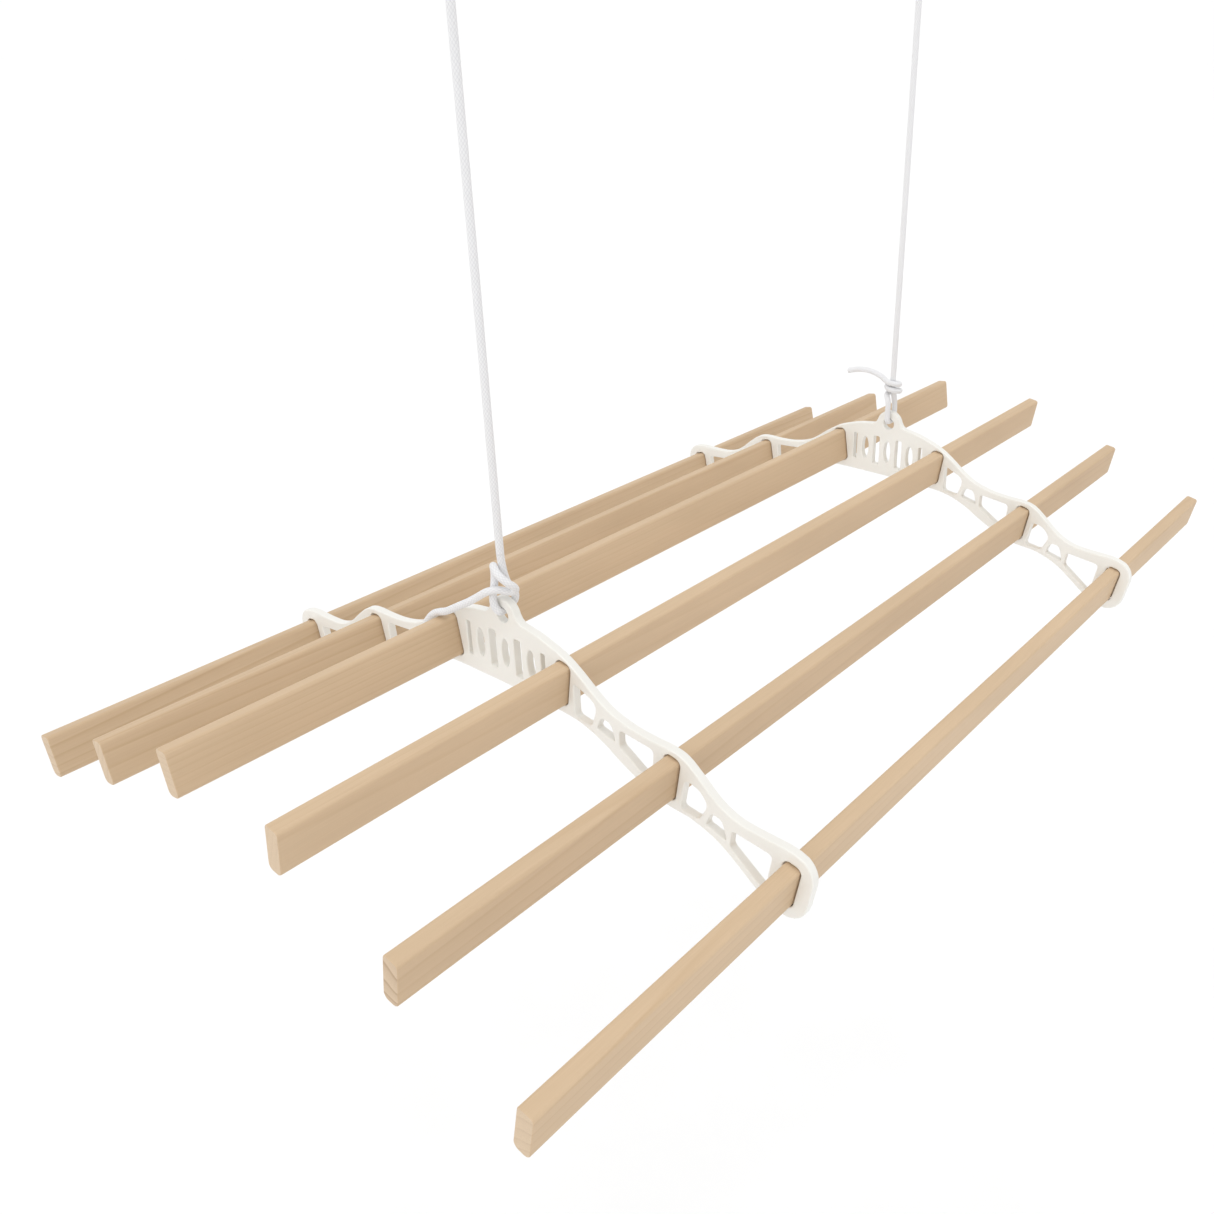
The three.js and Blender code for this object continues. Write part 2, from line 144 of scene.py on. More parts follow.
# ---- Node materials ----
class Shader:
    """A node material with a few short ways to add and join nodes."""

    def __init__(self, name, **values):
        self.material = bpy.data.materials.new(name)
        self.material.use_nodes = True
        self.tree = self.material.node_tree
        self.bsdf = self.tree.nodes["Principled BSDF"]
        for socket, value in values.items():
            self.bsdf.inputs[socket.replace("_", " ")].default_value = value

    def add(self, kind, settings=None, **inputs):
        """Adds a node. An input is named, or i and its number, and takes a value or a node's output."""
        node = self.tree.nodes.new("ShaderNode" + kind)
        for key, value in (settings or {}).items():
            setattr(node, key, value)
        for key, value in inputs.items():
            numbered = key[0] == "i" and key[1:].isdigit()
            socket = node.inputs[int(key[1:]) if numbered else key]
            if isinstance(value, bpy.types.NodeSocket):
                self.tree.links.new(value, socket)
            else:
                socket.default_value = value
        return node

    def math(self, operation, a, b=0.5, c=0.5):
        return self.add("Math", {"operation": operation}, i0=a, i1=b, i2=c).outputs[0]

    def noise(self, vector, scale, detail=2.0, roughness=0.5):
        node = self.add("TexNoise", Vector=vector, Scale=scale, Detail=detail, Roughness=roughness)
        return node.outputs[0]

    def stretch(self, vector, scale):
        return self.add("VectorMath", {"operation": "MULTIPLY"}, i0=vector, i1=scale).outputs[0]

    def span(self, value, low, high, to_low, to_high):
        return self.add("MapRange", i0=value, i1=low, i2=high, i3=to_low, i4=to_high).outputs[0]

    def ramp(self, factor, stops):
        node = self.add("ValToRGB", Fac=factor)
        elements = node.color_ramp.elements
        while len(elements) < len(stops):
            elements.new(0.5)
        for element, (position, color) in zip(elements, stops):
            element.position = position
            element.color = (*color, 1)
        return node.outputs[0]

    def mix(self, factor, a, b, blend="MIX"):
        node = self.add("Mix", {"data_type": "RGBA", "blend_type": blend}, i0=factor)
        for socket, value in ((node.inputs[6], a), (node.inputs[7], b)):
            if isinstance(value, bpy.types.NodeSocket):
                self.tree.links.new(value, socket)
            else:
                socket.default_value = (*value, 1)
        return node.outputs[2]

    def coordinates(self, output):
        return self.add("TexCoord").outputs[output]

    def bump(self, height, distance, strength=1.0, normal=None):
        node = self.add("Bump", Height=height, Distance=distance, Strength=strength)
        if normal is not None:
            self.tree.links.new(normal, node.inputs["Normal"])
        return node.outputs[0]

    def drive(self, **sockets):
        for name, output in sockets.items():
            self.tree.links.new(output, self.bsdf.inputs[name.replace("_", " ")])


def paint_material():
    """Cream gloss paint over a cast surface: soft orange peel, fine pits and a slow drift of tone."""
    shader = Shader("cream_paint", IOR=1.5, Coat_Weight=0.25, Coat_Roughness=0.12)
    place = shader.coordinates("Object")
    cloud = shader.noise(place, 9, 3)
    peel = shader.noise(place, 420, 2)
    pits = shader.noise(place, 1500, 1)
    color = shader.ramp(cloud, [(0.3, (0.815, 0.8, 0.75)), (0.7, (0.84, 0.826, 0.782))])
    shader.drive(
        Base_Color=color,
        Roughness=shader.span(peel, 0.3, 0.7, 0.3, 0.42),
        Normal=shader.bump(pits, 0.00003, 0.5, shader.bump(peel, 0.00012, 0.6)),
    )
    return shader.material


PALE_WOOD = (0.635, 0.472, 0.31)
LATE_WOOD = (0.53, 0.365, 0.215)
PALE_END = (0.69, 0.55, 0.4)
LATE_END = (0.34, 0.21, 0.12)


def grey(value):
    return (value,) * 3


def growth_rings(shader, place, pith, rings):
    """How late in its growth ring the wood is: pale as a ring begins, darkest just before it ends."""
    drawn_out = shader.stretch(place, (1, 0.04, 1))
    wander = shader.math("MULTIPLY", shader.noise(drawn_out, 11, 2), 6)
    centre = (pith[0], 0, pith[1])
    from_pith = shader.add("VectorMath", {"operation": "SUBTRACT"}, i0=drawn_out, i1=centre).outputs[0]
    radius = shader.add("VectorMath", {"operation": "LENGTH"}, i0=from_pith).outputs[1]
    ring = shader.math("FRACT", shader.math("MULTIPLY_ADD", radius, rings, wander))
    return shader.ramp(ring, [(0.0, grey(0.1)), (0.7, grey(0.4)), (0.9, grey(1.0)), (1.0, grey(0.12))])


def side_wood(shader, place, late, fibre, shade, figure):
    """The laths' long faces: rings that come and go, fine fibres, and a slow drift of tone."""
    patch = shader.noise(shader.stretch(place, (9, 0.5, 9)), 2.2, 2)
    strength = shader.span(patch, 0.35, 0.75, 0.08 * figure, 0.6 * figure)
    pale = tuple(shade * c for c in PALE_WOOD)
    dark = tuple(shade * c for c in LATE_WOOD)
    wood = shader.mix(shader.math("MULTIPLY", late, strength), pale, dark)
    streak = shader.ramp(fibre, [(0.25, (0.93, 0.92, 0.9)), (0.62, grey(1.0))])
    wood = shader.mix(0.8, wood, streak, "MULTIPLY")
    cloud = shader.noise(shader.stretch(place, (1, 0.3, 1)), 14, 3)
    tone = shader.ramp(cloud, [(0.3, (0.88, 0.87, 0.85)), (0.7, grey(1.0))])
    return shader.mix(0.7, wood, tone, "MULTIPLY")


def end_wood(shader, place, late, figure):
    """The sawn ends: the same rings, end on, with open pores."""
    rings = shader.mix(shader.math("MULTIPLY", late, figure), PALE_END, LATE_END)
    pores = shader.noise(shader.stretch(place, (1, 0.1, 1)), 1600, 1)
    speckle = shader.ramp(pores, [(0.35, (0.8, 0.78, 0.74)), (0.6, grey(1.0))])
    return shader.mix(0.6, rings, speckle, "MULTIPLY")


def pine_material(name, pith, shade, figure, rings, end_figure):
    """Planed softwood as a solid: growth rings round a pith line outside the lath, fibres along it.

    pith is where the rings centre, across and up from the lath's middle, and rings is how many to a metre.
    shade is how pale the wood is, figure how strongly the rings show, and end_figure how much they darken
    the ends.
    """
    shader = Shader(name, IOR=1.46)
    place = shader.coordinates("Object")
    late = growth_rings(shader, place, pith, rings)
    fibre = shader.noise(shader.stretch(place, (1, 0.02, 1)), 800, 3, 0.6)
    facing = shader.add("SeparateXYZ", Vector=shader.coordinates("Normal")).outputs[1]
    end_face = shader.span(shader.math("ABSOLUTE", facing), 0.8, 0.95, 0, 0.6)
    sides = side_wood(shader, place, late, fibre, shade, figure)
    height = shader.math("ADD", shader.math("MULTIPLY", fibre, 0.6), shader.math("MULTIPLY", late, 0.4))
    shader.drive(
        Base_Color=shader.mix(end_face, sides, end_wood(shader, place, late, end_figure)),
        Roughness=shader.span(fibre, 0.3, 0.7, 0.5, 0.66),
        Normal=shader.bump(height, 0.0001, 0.5),
    )
    return shader.material


def cord_material():
    """White braid: strands both ways round the cord, painted shade in the grooves between them, and fine yarn
    fuzz in the bump. V runs along it in metres.
    """
    shader = Shader("white_cord", Roughness=0.85, Sheen_Weight=0.3, Sheen_Roughness=0.5)
    place = shader.add("SeparateXYZ", Vector=shader.coordinates("UV"))
    round_it = shader.math("MULTIPLY", place.outputs[0], BRAID_STRANDS)
    along = shader.math("MULTIPLY", place.outputs[1], 1000 / BRAID_PITCH)

    def strands(operation):
        """A wave across the strands that wind one way, or the other."""
        return shader.math("SINE", shader.math("MULTIPLY", shader.math(operation, round_it, along), math.pi))

    lozenge = shader.math("ABSOLUTE", shader.math("MULTIPLY", strands("ADD"), strands("SUBTRACT")))
    yarn = shader.noise(shader.coordinates("Object"), 2600, 2)
    height = shader.math("ADD", lozenge, shader.math("MULTIPLY", yarn, 0.35))
    # Painted shade: the colour darkens from the strands' crowns into the grooves between them.
    painted_groove_shade = [(0.0, (0.69, 0.69, 0.705)), (0.3, (0.77, 0.77, 0.78)), (1.0, (0.81, 0.81, 0.815))]
    shader.drive(Base_Color=shader.ramp(lozenge, painted_groove_shade), Normal=shader.bump(height, 0.00016, 0.6))
    return shader.material


def steel_material():
    """Turned steel pins, with fine circular marks and a little dulling."""
    shader = Shader("axle_steel", Metallic=1.0)
    place = shader.coordinates("Object")
    marks = shader.noise(shader.stretch(place, (6, 0.6, 0.6)), 900, 2)
    haze = shader.noise(place, 120, 3)
    shader.drive(
        Base_Color=shader.ramp(haze, [(0.3, (0.5, 0.5, 0.51)), (0.7, (0.66, 0.66, 0.66))]),
        Roughness=shader.span(haze, 0.3, 0.7, 0.25, 0.45),
        Normal=shader.bump(marks, 0.00003, 0.5),
    )
    return shader.material


def floor_material():
    """Matt and almost white, with a faint mottle."""
    shader = Shader("pale_floor", Roughness=0.9)
    mottle = shader.noise(shader.coordinates("Object"), 3, 3)
    shader.drive(Base_Color=shader.ramp(mottle, [(0.3, grey(0.9)), (0.7, grey(0.92))]))
    return shader.material


PAINT = paint_material()
CORD = cord_material()
STEEL = steel_material()


# ---- Mesh helpers ----
def new_piece(name, vertices, faces, material, uvs=None):
    """A smooth-shaded mesh object. uvs gives each face's corners, in the order of its vertices."""
    mesh = bpy.data.meshes.new(name)
    mesh.from_pydata([tuple(v) for v in vertices], [], faces)
    if uvs is not None:
        layer = mesh.uv_layers.new(name="UVMap")
        layer.data.foreach_set("uv", np.asarray(uvs, np.float32).reshape(-1))
    mesh.materials.append(material)
    mesh.validate()
    piece = bpy.data.objects.new(name, mesh)
    bpy.context.scene.collection.objects.link(piece)
    bm = bmesh.new()
    bm.from_mesh(mesh)
    bmesh.ops.recalc_face_normals(bm, faces=bm.faces)
    bm.to_mesh(mesh)
    bm.free()
    shade_smooth(mesh)
    return piece


def shade_smooth(mesh):
    mesh.polygons.foreach_set("use_smooth", [True] * len(mesh.polygons))


def weigh_normals(piece):
    """Large flat faces keep their own normal, so that only the rounded edges shade."""
    modifier = piece.modifiers.new("weighted_normals", "WEIGHTED_NORMAL")
    modifier.weight = 100
    return piece


def soften_edges(piece, width, sharpest):
    """Rounds edges, width millimetres wide, where faces turn by more than sharpest degrees."""
    bevel = piece.modifiers.new("edges", "BEVEL")
    bevel.width = width / 1000
    bevel.segments = 2
    bevel.limit_method = "ANGLE"
    bevel.angle_limit = math.radians(sharpest)
    return bevel


def part_way(a, b, t, start, stop):
    """The point at t on the line that is at a when t is start, and at b when t is stop."""
    return a + (b - a) * (t - start) / (stop - start)


def smooth_line(points, spacing):
    """Centripetal Catmull-Rom curve through points: points about spacing apart, and how far along each is."""
    points = np.asarray(points, float)
    padded = np.vstack([2 * points[0] - points[1], points, 2 * points[-1] - points[-2]])
    fine = []
    for p0, p1, p2, p3 in zip(padded, padded[1:], padded[2:], padded[3:]):
        steps = [np.linalg.norm(b - a) ** 0.5 for a, b in ((p0, p1), (p1, p2), (p2, p3))]
        k0, k1, k2, k3 = np.cumsum([0, *steps])
        for t in np.linspace(k1, k2, 17)[:-1]:
            a1 = part_way(p0, p1, t, k0, k1)
            a2 = part_way(p1, p2, t, k1, k2)
            a3 = part_way(p2, p3, t, k2, k3)
            b1 = part_way(a1, a2, t, k0, k2)
            b2 = part_way(a2, a3, t, k1, k3)
            fine.append(part_way(b1, b2, t, k1, k2))
    fine.append(points[-1])
    fine = np.array(fine)
    distance = np.concatenate([[0], np.cumsum(np.linalg.norm(np.diff(fine, axis=0), axis=1))])
    count = max(2, int(round(distance[-1] / spacing)) + 1)
    wanted = np.linspace(0, distance[-1], count)
    return np.stack([np.interp(wanted, distance, fine[:, k]) for k in range(3)], axis=1), wanted


def cord_rings(points, radius, spacing, sides):
    """A cord's middle line, how far along each of its points is, its direction there, and a ring round it."""
    line, along = smooth_line(points, spacing)
    tangent = np.gradient(line, axis=0)
    tangent /= np.linalg.norm(tangent, axis=1)[:, None]
    slanting = [0.3, 0.9, 0.2]  # a direction that no cord starts in
    side = np.cross(tangent[0], slanting)
    side /= np.linalg.norm(side)
    angles = 2 * math.pi * np.arange(sides) / sides
    rings = []
    for centre, forward in zip(line, tangent):
        side = side - forward * (side @ forward)
        side /= np.linalg.norm(side)
        other = np.cross(forward, side)
        rings.append(centre + radius * (np.outer(np.cos(angles), side) + np.outer(np.sin(angles), other)))
    return line, along, tangent, rings


def end_cap(centre, outward, ring, radius):
    """Rings that round a cord's cut end over, from the cord outwards."""
    cap = []
    for turn in CAP_TURNS:
        shrink = math.cos(math.radians(turn))
        reach = CAP_DEPTH * radius * math.sin(math.radians(turn))
        cap.append(centre + (ring - centre) * shrink + reach * outward)
    return cap


def cord_mesh(name, strands, sides=20, spacing=1.3, radius=CORD_RADIUS, rounded=True):
    """Cords along lists of points in millimetres, as one mesh whose UVs run round and along them."""
    vertices, faces, uvs = [], [], []
    for points in strands:
        line, along, tangent, rings = cord_rings(points, radius, spacing, sides)
        if rounded:
            first_cap = end_cap(line[0], -tangent[0], rings[0], radius)
            last_cap = end_cap(line[-1], tangent[-1], rings[-1], radius)
            rings = [*first_cap[::-1], *rings, *last_cap]
            along = np.concatenate([[along[0]] * len(first_cap), along, [along[-1]] * len(last_cap)])
        base = len(vertices)
        for ring in rings:
            vertices.extend(ring)
        for i in range(len(rings) - 1):
            low, high = along[i] / 1000, along[i + 1] / 1000
            for k in range(sides):
                a, b = base + i * sides + k, base + i * sides + (k + 1) % sides
                faces.append((a, b, b + sides, a + sides))
                uvs += [(k / sides, low), ((k + 1) / sides, low), ((k + 1) / sides, high), (k / sides, high)]
        for ring_start in (base, base + (len(rings) - 1) * sides):
            faces.append(tuple(range(ring_start, ring_start + sides)))
            uvs += [(0, along[0] / 1000)] * sides
    return new_piece(name, mm(vertices), faces, CORD, uvs)


def lathe(name, profile, material, centre, segments=64):
    """Turns a closed outline of (radius, x) about an axis along X through centre, in millimetres."""
    vertices, faces = [], []
    for s in range(segments):
        angle = 2 * math.pi * s / segments
        for radius, x in profile:
            y, z = radius * math.cos(angle), radius * math.sin(angle)
            vertices.append((centre[0] + x, centre[1] + y, centre[2] + z))
    n = len(profile)
    for s in range(segments):
        here, following = s * n, ((s + 1) % segments) * n
        for k in range(n):
            after = (k + 1) % n
            faces.append((here + k, here + after, following + after, following + k))
    piece = new_piece(name, mm(vertices), faces, material)
    soften_edges(piece, 0.4, 28)
    return weigh_normals(piece)


# ---- Cords ----
def at_end(points, end_y):
    """Points given from the middle of a rack end, in the CAD frame."""
    return [(x, y + end_y, z - DROP) for x, y, z in points]


def turn_over(x, sheave_y, start, stop, steps):
    """Points of the cord's turn over a sheave, from its rising side, by degrees."""
    angles = [math.radians(start + (stop - start) * i / steps) for i in range(steps + 1)]
    return [(x, sheave_y + PITCH_RADIUS * math.cos(a), axle_z + PITCH_RADIUS * math.sin(a)) for a in angles]


def lead_in(sheave_y):
    """The straight cord below the turn over a sheave."""
    y = sheave_y + PITCH_RADIUS
    return [(0, y, drop_top), (0, y, axle_z - LEAD / 2)]


def towards_join(x):
    """The cord's way from a near sheave into the joining knot."""
    angle = math.radians(LEAVING)
    start = np.array(turn_over(x, near_sheave_y, LEAVING, LEAVING, 1)[0])
    heading = np.array([0, -math.sin(angle), math.cos(angle)])
    straight = [start + n * STRAIGHT * heading for n in (1, 2)]
    end = np.array([JOIN[0] + (x - JOIN[0]) * JOIN_NARROWING, JOIN[1], JOIN[2]])
    direction = (end - straight[1]) / np.linalg.norm(end - straight[1])
    return [*straight, end - direction * (JOIN_RADIUS + GAP + JOIN_SETBACK)]


def ceiling_run(pieces):
    """The far hauling cord's straight way from its own sheave to the double pulley."""
    start = far_sheave_y - STRAIGHT
    stop = near_sheave_y + STRAIGHT
    parts = [i / pieces for i in range(pieces + 1)]
    return [(SHEAVE_PITCH * t, start + (stop - start) * t, axle_z + PITCH_RADIUS) for t in parts]


near_haul_route = [
    *lead_in(near_sheave_y),
    *turn_over(0, near_sheave_y, 0, LEAVING, 10),
    *towards_join(0),
]
far_haul_route = [
    *lead_in(far_sheave_y),
    *turn_over(0, far_sheave_y, 0, 90, 8),
    *ceiling_run(8),
    *turn_over(SHEAVE_PITCH, near_sheave_y, 90, LEAVING, 3),
    *towards_join(SHEAVE_PITCH),
]


# ---- Routes of the knots and tails, from the middle of a rack end ----
NEAR_TAIL = [
    (-23, -13, 61), (-33, -15.5, 54), (-46, -16.5, 46), (-58, -16.3, 38.5), (-69, -16, 32),
    (-80, -15.5, 27.3), (-90, -15, 22), (-99, -15, 13.5), (-106, -15, 4), (-111, -15, -6),
]
FAR_TAIL = [
    (-12, 0, 105.5), (-18, 1, 108.6), (-27, 2, 111.5), (-37, 2.5, 113.3), (-47, 3.3, 113.3),
    (-56, 4, 112.3), (-65, 4.5, 110), (-74, 5, 107),
]
# Through the eye of a rack end, over the bottom of its upper rim, from behind to the front.
EYE_TURN = [(0, 7.5, 51), (0, 4.5, 49.8), (0, 0, 49.8), (0, -4.5, 49.8), (0, -7.5, 51)]
NEAR_KNOT = [
    (0, 0, 109.5), (0, 0.3, 103), (0, 1, 96), (0, 2, 89), (0.2, 3.6, 82), (1, 5.6, 75.5),
    (3.4, 8.2, 69.5), (5, 9.6, 64), (4, 9.6, 59), (1.5, 8.9, 54.5),
    *EYE_TURN,
    (-2.5, -8.9, 55), (-4.6, -9.3, 61), (-5.2, -8.2, 68), (-5.6, -5.8, 76), (-6.6, -3.6, 84),
    (-7.3, -2.8, 90.5), (-6.4, -4, 95.4), (-2.4, -6.6, 96.2), (3, -8.4, 92.6), (8.8, -8, 88.6),
    (13.6, -5.2, 84), (15.8, -0.6, 79.3), (14.2, 2.4, 74.4), (10.4, 0.8, 71.8), (6, -4.4, 73.5),
    (1, -9.8, 75), (-5, -14, 73.2), (-11, -15, 69.5), (-17, -14.2, 65.3), (-23, -13, 61),
]
FAR_KNOT = [
    (0, 0, 109.5), (0, 0.5, 103), (0, 1.6, 96), (0, 3.6, 89), (0, 6.2, 82), (0, 8.2, 75),
    (0, 9.2, 66), (0, 8.9, 55),
    *EYE_TURN,
    (0, -8.9, 55), (0, -9.2, 65), (-0.2, -8.4, 74), (-1.8, -7.2, 81), (-5.8, -4, 85.6), (-8, 2.4, 87.6),
    (-5, 9.8, 89.4), (1, 11.6, 91), (7, 8, 92.4), (8.8, 1.4, 93.8), (4.6, -5.4, 95.4), (-2, -6.6, 97),
    (-7.6, -2.6, 98.4), (-8, 3.8, 99.6), (-3, 8.8, 101), (4, 8.2, 102), (8.6, 2.6, 103),
    (6.2, -4, 104.2), (0, -7.6, 105.6), (-6.4, -5, 106.2), (-12, 0, 105.5),
]


def drop_cord(name, end_y, node):
    """A standing cord, straight down from just below its sheave's lead to just above its knot."""
    steps = 20
    route = [(0, end_y, drop_top + (drop_bottom - drop_top) * i / steps) for i in range(steps + 1)]
    cord = cord_mesh(name, [route], rounded=False)
    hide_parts(node)
    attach(cord, "ceiling_gear")
    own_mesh(cord)


def knot_piece(name, route, end_y, node):
    """A knot as one strand of slightly tightened cord."""
    radius = CORD_RADIUS * KNOT_TIGHTNESS
    knot = cord_mesh(name, [at_end(route, end_y)], spacing=0.9, radius=radius, rounded=False)
    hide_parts(node)
    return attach(knot, "eye_knots")


def tail_piece(name, route, end_y, node):
    """A free tail with its cut end, and its line at about 5 mm steps."""
    points = at_end(route, end_y)
    tail = cord_mesh(name, [points], spacing=1.0)
    line, _ = smooth_line(points, 5)
    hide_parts(node)
    return tail, line


def joining_knot():
    """Both hauling cords run through three turns of a third, and out a little past them."""
    strands = []
    ends = []
    for x in (0, SHEAVE_PITCH):
        stop = np.array(towards_join(x)[-1])
        side = math.copysign(CORD_RADIUS + 0.1, x - JOIN[0])
        ends.append(stop)
        through = [JOIN + np.array([side, y, z]) for y, z in ((6, 2.5), (-7, -3.5), (-19, -9.5))]
        strands.append([stop, *through])
    inward = np.mean(ends, axis=0) - JOIN
    inward /= np.linalg.norm(inward)
    across = np.array([1.0, 0, 0])
    up = np.cross(inward, across)
    wrap = []
    turns = 3
    steps = 12
    for i in range(turns * steps + 1):
        angle = 2 * math.pi * i / steps
        offset = across * WRAP_HALF_WIDTH * math.cos(angle) + up * WRAP_HALF_HEIGHT * math.sin(angle)
        wrap.append(JOIN + offset + inward * (-WRAP_LENGTH / 2 + WRAP_LENGTH * i / (turns * steps)))
    strands.append(wrap)
    knot = cord_mesh("joining_turns", strands, spacing=1.2)
    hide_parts("joining_knot")
    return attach(knot, "ceiling_gear")


def haul_cord(name, route, node):
    """A cord from above its drop, over its sheaves and into the joining knot."""
    line, _ = smooth_line(route, 6)
    cord = cord_mesh(name, [route], rounded=False)
    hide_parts(node)
    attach(cord, "ceiling_gear")


near_knot = knot_piece("near_knot", NEAR_KNOT, -END_SPAN, "near_eye_knot")
far_knot = knot_piece("far_knot", FAR_KNOT, END_SPAN, "far_eye_knot")
drop_cord("near_standing_cord", -END_SPAN, "near_drop_cord")
drop_cord("far_standing_cord", END_SPAN, "far_drop_cord")

near_tail, near_tail_line = tail_piece("near_cord_tail", NEAR_TAIL, -END_SPAN, "near_tail")
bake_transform(near_tail)
far_tail, far_tail_line = tail_piece("far_cord_tail", FAR_TAIL, END_SPAN, "far_tail")
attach(far_tail, "eye_knots")

join_piece = joining_knot()
haul_cord("near_hauling_cord", near_haul_route, "near_haul_cord")
haul_cord("far_hauling_cord", far_haul_route, "far_haul_cord")


# ---- Laths ----
def rounded_section(width, height, upper_radius, lower_radius, steps=7):
    """A lath's outline, across and up, with one rounding above and another below."""
    points = []
    for corner, (sx, sz) in enumerate(((1, 1), (-1, 1), (-1, -1), (1, -1))):
        radius = upper_radius if sz > 0 else lower_radius
        for i in range(steps + 1):
            angle = math.radians(90 * (corner + i / steps))
            points.append((
                sx * (width / 2 - radius) + radius * math.cos(angle),
                sz * (height / 2 - radius) + radius * math.sin(angle),
            ))
    return np.array(points)


def lath(number, x, z, lean, wood):
    """One lath in its own axes, so that its grain is its own: slightly uneven faces and eased ends."""
    section = rounded_section(LATH_WIDTH, LATH_HEIGHT, LATH_UPPER_RADIUS, LATH_EDGE_RADIUS)
    half = LATH_LENGTH / 2
    rng = np.random.default_rng(40 + number)
    phases = rng.uniform(0, 2 * math.pi, (LATH_WAVES, 2))[:, 0]
    near_end = [(-half, LATH_EASE), (-half + 0.3, 0.35 * LATH_EASE), (-half + LATH_EASE, 0)]
    middle = [(y, 0) for y in np.linspace(-half, half, 61)[1:-1]]
    far_end = [(-y, inset) for y, inset in reversed(near_end)]
    rings = near_end + middle + far_end
    vertices, faces = [], []
    for y, inset in rings:
        waves = sum(math.sin(y * k / LATH_WAVE_LENGTH + phases[k]) for k in range(LATH_WAVES))
        growth = LATH_UNEVENNESS * waves / LATH_WAVES - LATH_UNEVENNESS - inset
        scale = np.array([1 + 2 * growth / LATH_WIDTH, 1 + 2 * growth / LATH_HEIGHT])
        vertices += [(px, y, pz) for px, pz in section * scale]
    n = len(section)
    for s in range(len(rings) - 1):
        for k in range(n):
            a, b = s * n + k, s * n + (k + 1) % n
            faces.append((a, b, b + n, a + n))
    faces.append(tuple(range(n)))
    faces.append(tuple(range(len(vertices) - n, len(vertices))))
    material = pine_material(f"pine_{number}", **wood)
    piece = weigh_normals(new_piece(f"wooden_lath_{number}", mm(vertices), faces, material))
    angle = math.radians(lean)
    piece.rotation_euler = (0, angle, 0)
    piece.location = mm((x - lath_sink * math.sin(angle), 0, z - DROP - lath_sink * math.cos(angle)))
    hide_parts(f"lath_{number}")
    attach(piece, "rack")


# Each lath's wood, numbered from the left, in pine_material's terms.
LATH_WOOD = [
    {"pith": (0.012, -0.075), "shade": 0.99, "figure": 1.5, "rings": 110, "end_figure": 0.25},
    {"pith": (-0.07, 0.05), "shade": 1.01, "figure": 1.3, "rings": 110, "end_figure": 0.2},
    {"pith": (0.03, 0.11), "shade": 1.03, "figure": 0.8, "rings": 150, "end_figure": 0.2},
    {"pith": (-0.13, 0.02), "shade": 1.04, "figure": 0.7, "rings": 150, "end_figure": 0.1},
    {"pith": (0.004, -0.1), "shade": 1.02, "figure": 1.0, "rings": 80, "end_figure": 0.95},
    {"pith": (0.05, -0.07), "shade": 1.04, "figure": 0.9, "rings": 130, "end_figure": 0.25},
]
all_stations = [(-x, z, -lean) for x, z, lean in reversed(STATIONS)] + STATIONS
for number, ((x, z, lean), wood) in enumerate(zip(all_stations, LATH_WOOD), 1):
    lath(number, x, z, lean, wood)


# ---- Rack ends ----
def front_loops(node):
    """Outlines of a rack end's front face, as rings of (x, z) with the metal on their left."""
    bm = bmesh.new()
    bm.from_mesh(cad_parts[node].data)
    bmesh.ops.remove_doubles(bm, verts=bm.verts, dist=1e-6)
    bm.normal_update()
    front = {f for f in bm.faces if f.normal.y < -0.99}
    following = {}
    for face in front:
        for corner in face.loops:
            if any(other not in front for other in corner.edge.link_faces):
                following[corner.vert] = corner.link_loop_next.vert
    rings = []
    while following:
        start = next(iter(following))
        ring = []
        vertex = start
        while vertex in following:
            ring.append((vertex.co.x, vertex.co.z))
            vertex = following.pop(vertex)
        rings.append(np.array(ring))
    bm.free()
    return sorted(rings, key=lambda ring: -np.ptp(ring[:, 0]))


def move_in(ring, distance):
    """The ring moved sideways into the metal on its left."""
    before = ring - np.roll(ring, 1, axis=0)
    after = np.roll(ring, -1, axis=0) - ring
    before /= np.linalg.norm(before, axis=1)[:, None]
    after /= np.linalg.norm(after, axis=1)[:, None]
    left_before = np.stack([-before[:, 1], before[:, 0]], axis=1)
    left_after = np.stack([-after[:, 1], after[:, 0]], axis=1)
    middle = left_before + left_after
    tightest = 0.4  # keeps the sharpest corners from running out
    return ring + distance * middle / (1 + (left_before * left_after).sum(1))[:, None].clip(tightest)


def rack_end(name, node):
    """The CAD outline with cast, rounded edges, cut-outs and all."""
    lowest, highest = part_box(node)
    edge = CAST_EDGE / 1000
    steps = 4
    layers = []
    for k in range(steps + 1):
        angle = math.pi / 2 * k / steps
        layers.append((edge * (1 - math.sin(angle)), lowest.y + edge * (1 - math.cos(angle))))
    layers += [(inset, lowest.y + highest.y - y) for inset, y in reversed(layers)]
    rings = front_loops(node)
    vertices, faces, front, back = [], [], [], []
    for ring in rings:
        n = len(ring)
        start = len(vertices)
        for inset, y in layers:
            vertices += [(x, y, z) for x, z in move_in(ring, inset)]
        for layer in range(len(layers) - 1):
            for k in range(n):
                a = start + layer * n + k
                b = start + layer * n + (k + 1) % n
                faces.append((a, b, b + n, a + n))
        front += range(start, start + n)
        back += range(len(vertices) - n, len(vertices))
    outlines = [[(*p, 0) for p in move_in(ring, edge)] for ring in rings]
    for triangle in tessellate_polygon(outlines):
        faces.append(tuple(front[i] for i in triangle))
        faces.append(tuple(back[i] for i in reversed(triangle)))
    piece = weigh_normals(new_piece(name, vertices, faces, PAINT))
    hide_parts(node)
    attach(piece, "rack")


rack_end("near_cast_end", "near_rack_end")
rack_end("far_cast_end", "far_rack_end")


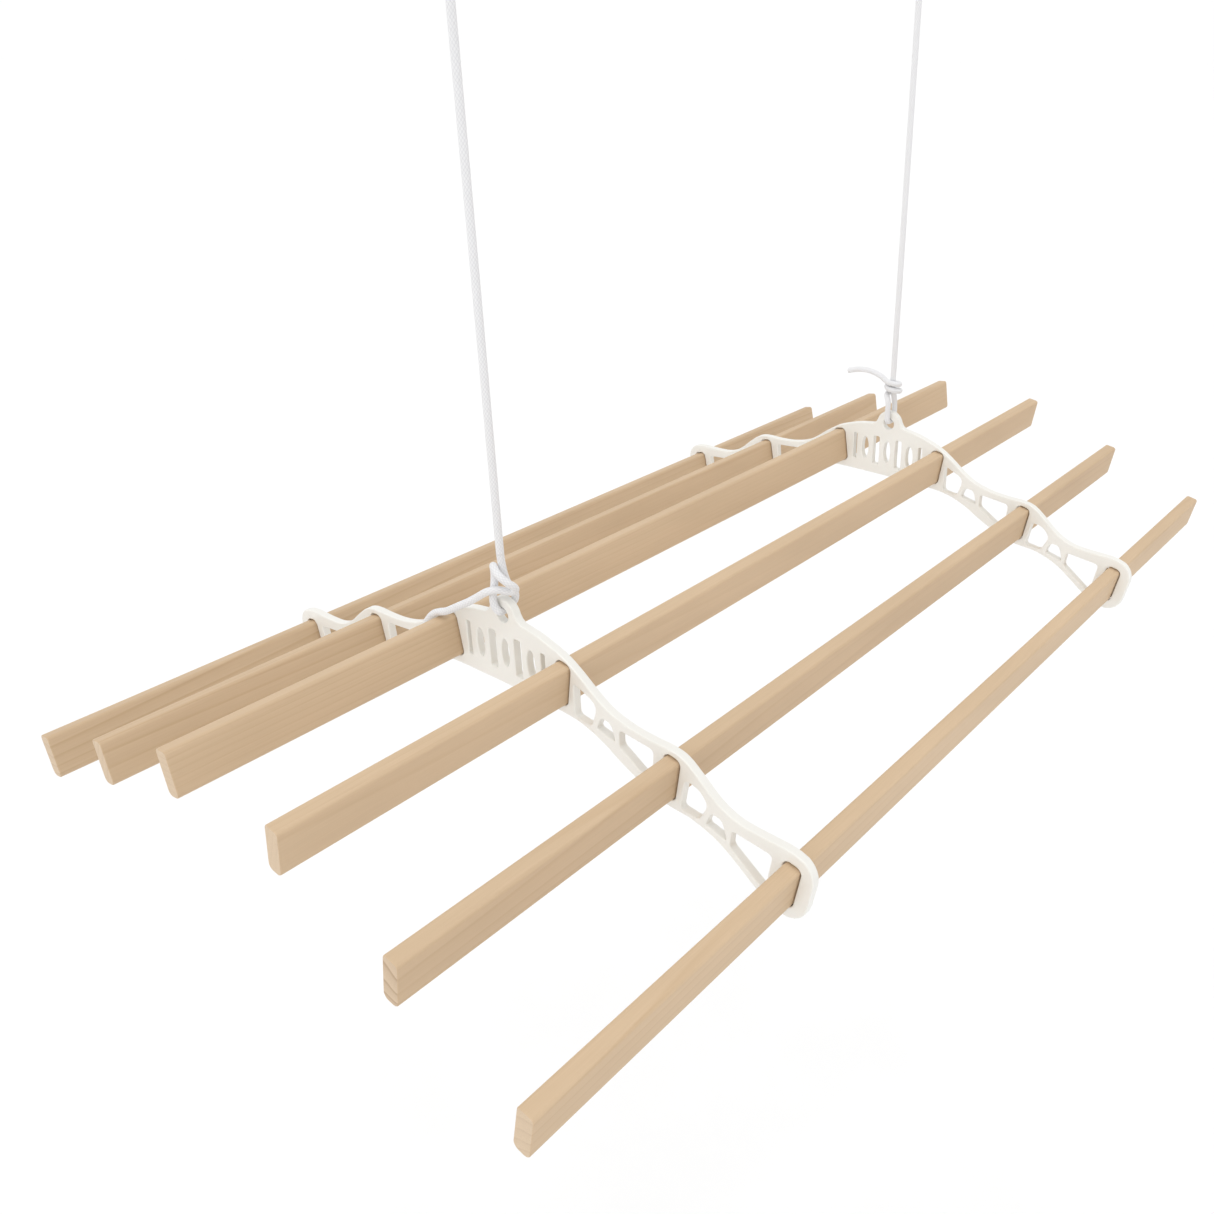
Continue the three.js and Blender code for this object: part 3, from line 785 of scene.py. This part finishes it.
# ---- Ceiling pulleys ----
def sheave_profile():
    """Outline of one half of a grooved sheave, as (radius, x), with its web recessed on both sides."""
    rim = SHEAVE_WIDTH / 2
    recess = 2
    hub, hub_foot = 8, 8.6
    rim_foot, rim_edge = 12.3, 13
    side = [
        (AXLE_RADIUS + AXLE_CLEARANCE, rim), (hub, rim), (hub_foot, rim - recess), (rim_foot, rim - recess),
        (rim_edge, rim), (SHEAVE_RADIUS, rim), (SHEAVE_RADIUS, rim - SHEAVE_LIP),
    ]
    groove = []
    steps = 12
    for i in range(steps + 1):
        angle = -math.pi / 2 + math.pi * i / steps
        groove.append((PITCH_RADIUS - GROOVE_RADIUS * math.cos(angle), GROOVE_RADIUS * math.sin(angle)))
    return [(radius, -x) for radius, x in side] + groove + side[::-1]


for body, node, x, y in (
    ("single_sheave", "single_pulley_sheave", 0, far_sheave_y),
    ("double_sheave_near", "double_pulley_sheave_near", 0, near_sheave_y),
    ("double_sheave_far", "double_pulley_sheave_far", SHEAVE_PITCH, near_sheave_y),
):
    wheel = lathe(node.replace("pulley_sheave", "grooved_wheel"), sheave_profile(), PAINT, (x, y, axle_z))
    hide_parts(node)
    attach(wheel, body)

for node in ("single_pulley_bracket", "double_pulley_bracket", "single_pulley_axle", "double_pulley_axle"):
    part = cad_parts[node]
    part.data.materials.clear()
    part.data.materials.append(STEEL if node.endswith("axle") else PAINT)
    weld = part.modifiers.new("weld", "WELD")
    weld.merge_threshold = 1e-6
    soften_edges(part, 0.6, 35).harden_normals = True
    shade_smooth(part.data)


# ---- Stage ----
FLOOR_Z = -2.1
FLOOR_RADIUS = 60
FADE_FROM = 0.5  # sines of the heights between which the sky dims
FADE_TO = 0.8
HORIZON_STRENGTH = 1.01
OVERHEAD_STRENGTH = 0.5


def studio_floor():
    """A flat round floor, wide enough that its rim is lost in the white."""
    rings = [0.5, 4, 15, FLOOR_RADIUS]
    segments = 48
    vertices, faces = [], []
    for radius in rings:
        for s in range(segments):
            angle = 2 * math.pi * s / segments
            vertices.append((radius * math.cos(angle), radius * math.sin(angle), FLOOR_Z))
    for ring in range(len(rings) - 1):
        for s in range(segments):
            a, b = ring * segments + s, ring * segments + (s + 1) % segments
            faces.append((a, b, b + segments, a + segments))
    faces.append(tuple(range(segments)))
    return new_piece("floor", vertices, faces, floor_material())


def studio_world():
    """White round the horizon, so that none shows behind the rack, and dimmer overhead."""
    world = bpy.data.worlds.new("studio")
    world.use_nodes = True
    tree = world.node_tree
    place = tree.nodes.new("ShaderNodeTexCoord")
    split = tree.nodes.new("ShaderNodeSeparateXYZ")
    fade = tree.nodes.new("ShaderNodeMapRange")
    for socket, value in zip(fade.inputs[1:5], (FADE_FROM, FADE_TO, HORIZON_STRENGTH, OVERHEAD_STRENGTH)):
        socket.default_value = value
    tree.links.new(place.outputs["Generated"], split.inputs[0])
    tree.links.new(split.outputs[2], fade.inputs[0])
    tree.links.new(fade.outputs[0], tree.nodes["Background"].inputs["Strength"])
    tree.nodes["Background"].inputs["Color"].default_value = (1, 1, 1, 1)
    return world


studio_floor()
bpy.context.scene.world = studio_world()
bpy.context.scene.view_settings.view_transform = "Standard"


def soft_sun(name, tilt, turn, spread, strength):
    """Broad light from tilt degrees off straight down, turned about Z."""
    data = bpy.data.lights.new(name, "SUN")
    data.energy = strength
    data.angle = math.radians(spread)
    light = bpy.data.objects.new(name, data)
    light.rotation_euler = (math.radians(tilt), 0, math.radians(turn))
    bpy.context.scene.collection.objects.link(light)


soft_sun("overhead", 8, 20, 60, 1.15)
soft_sun("front", 60, 4, 50, 0.35)
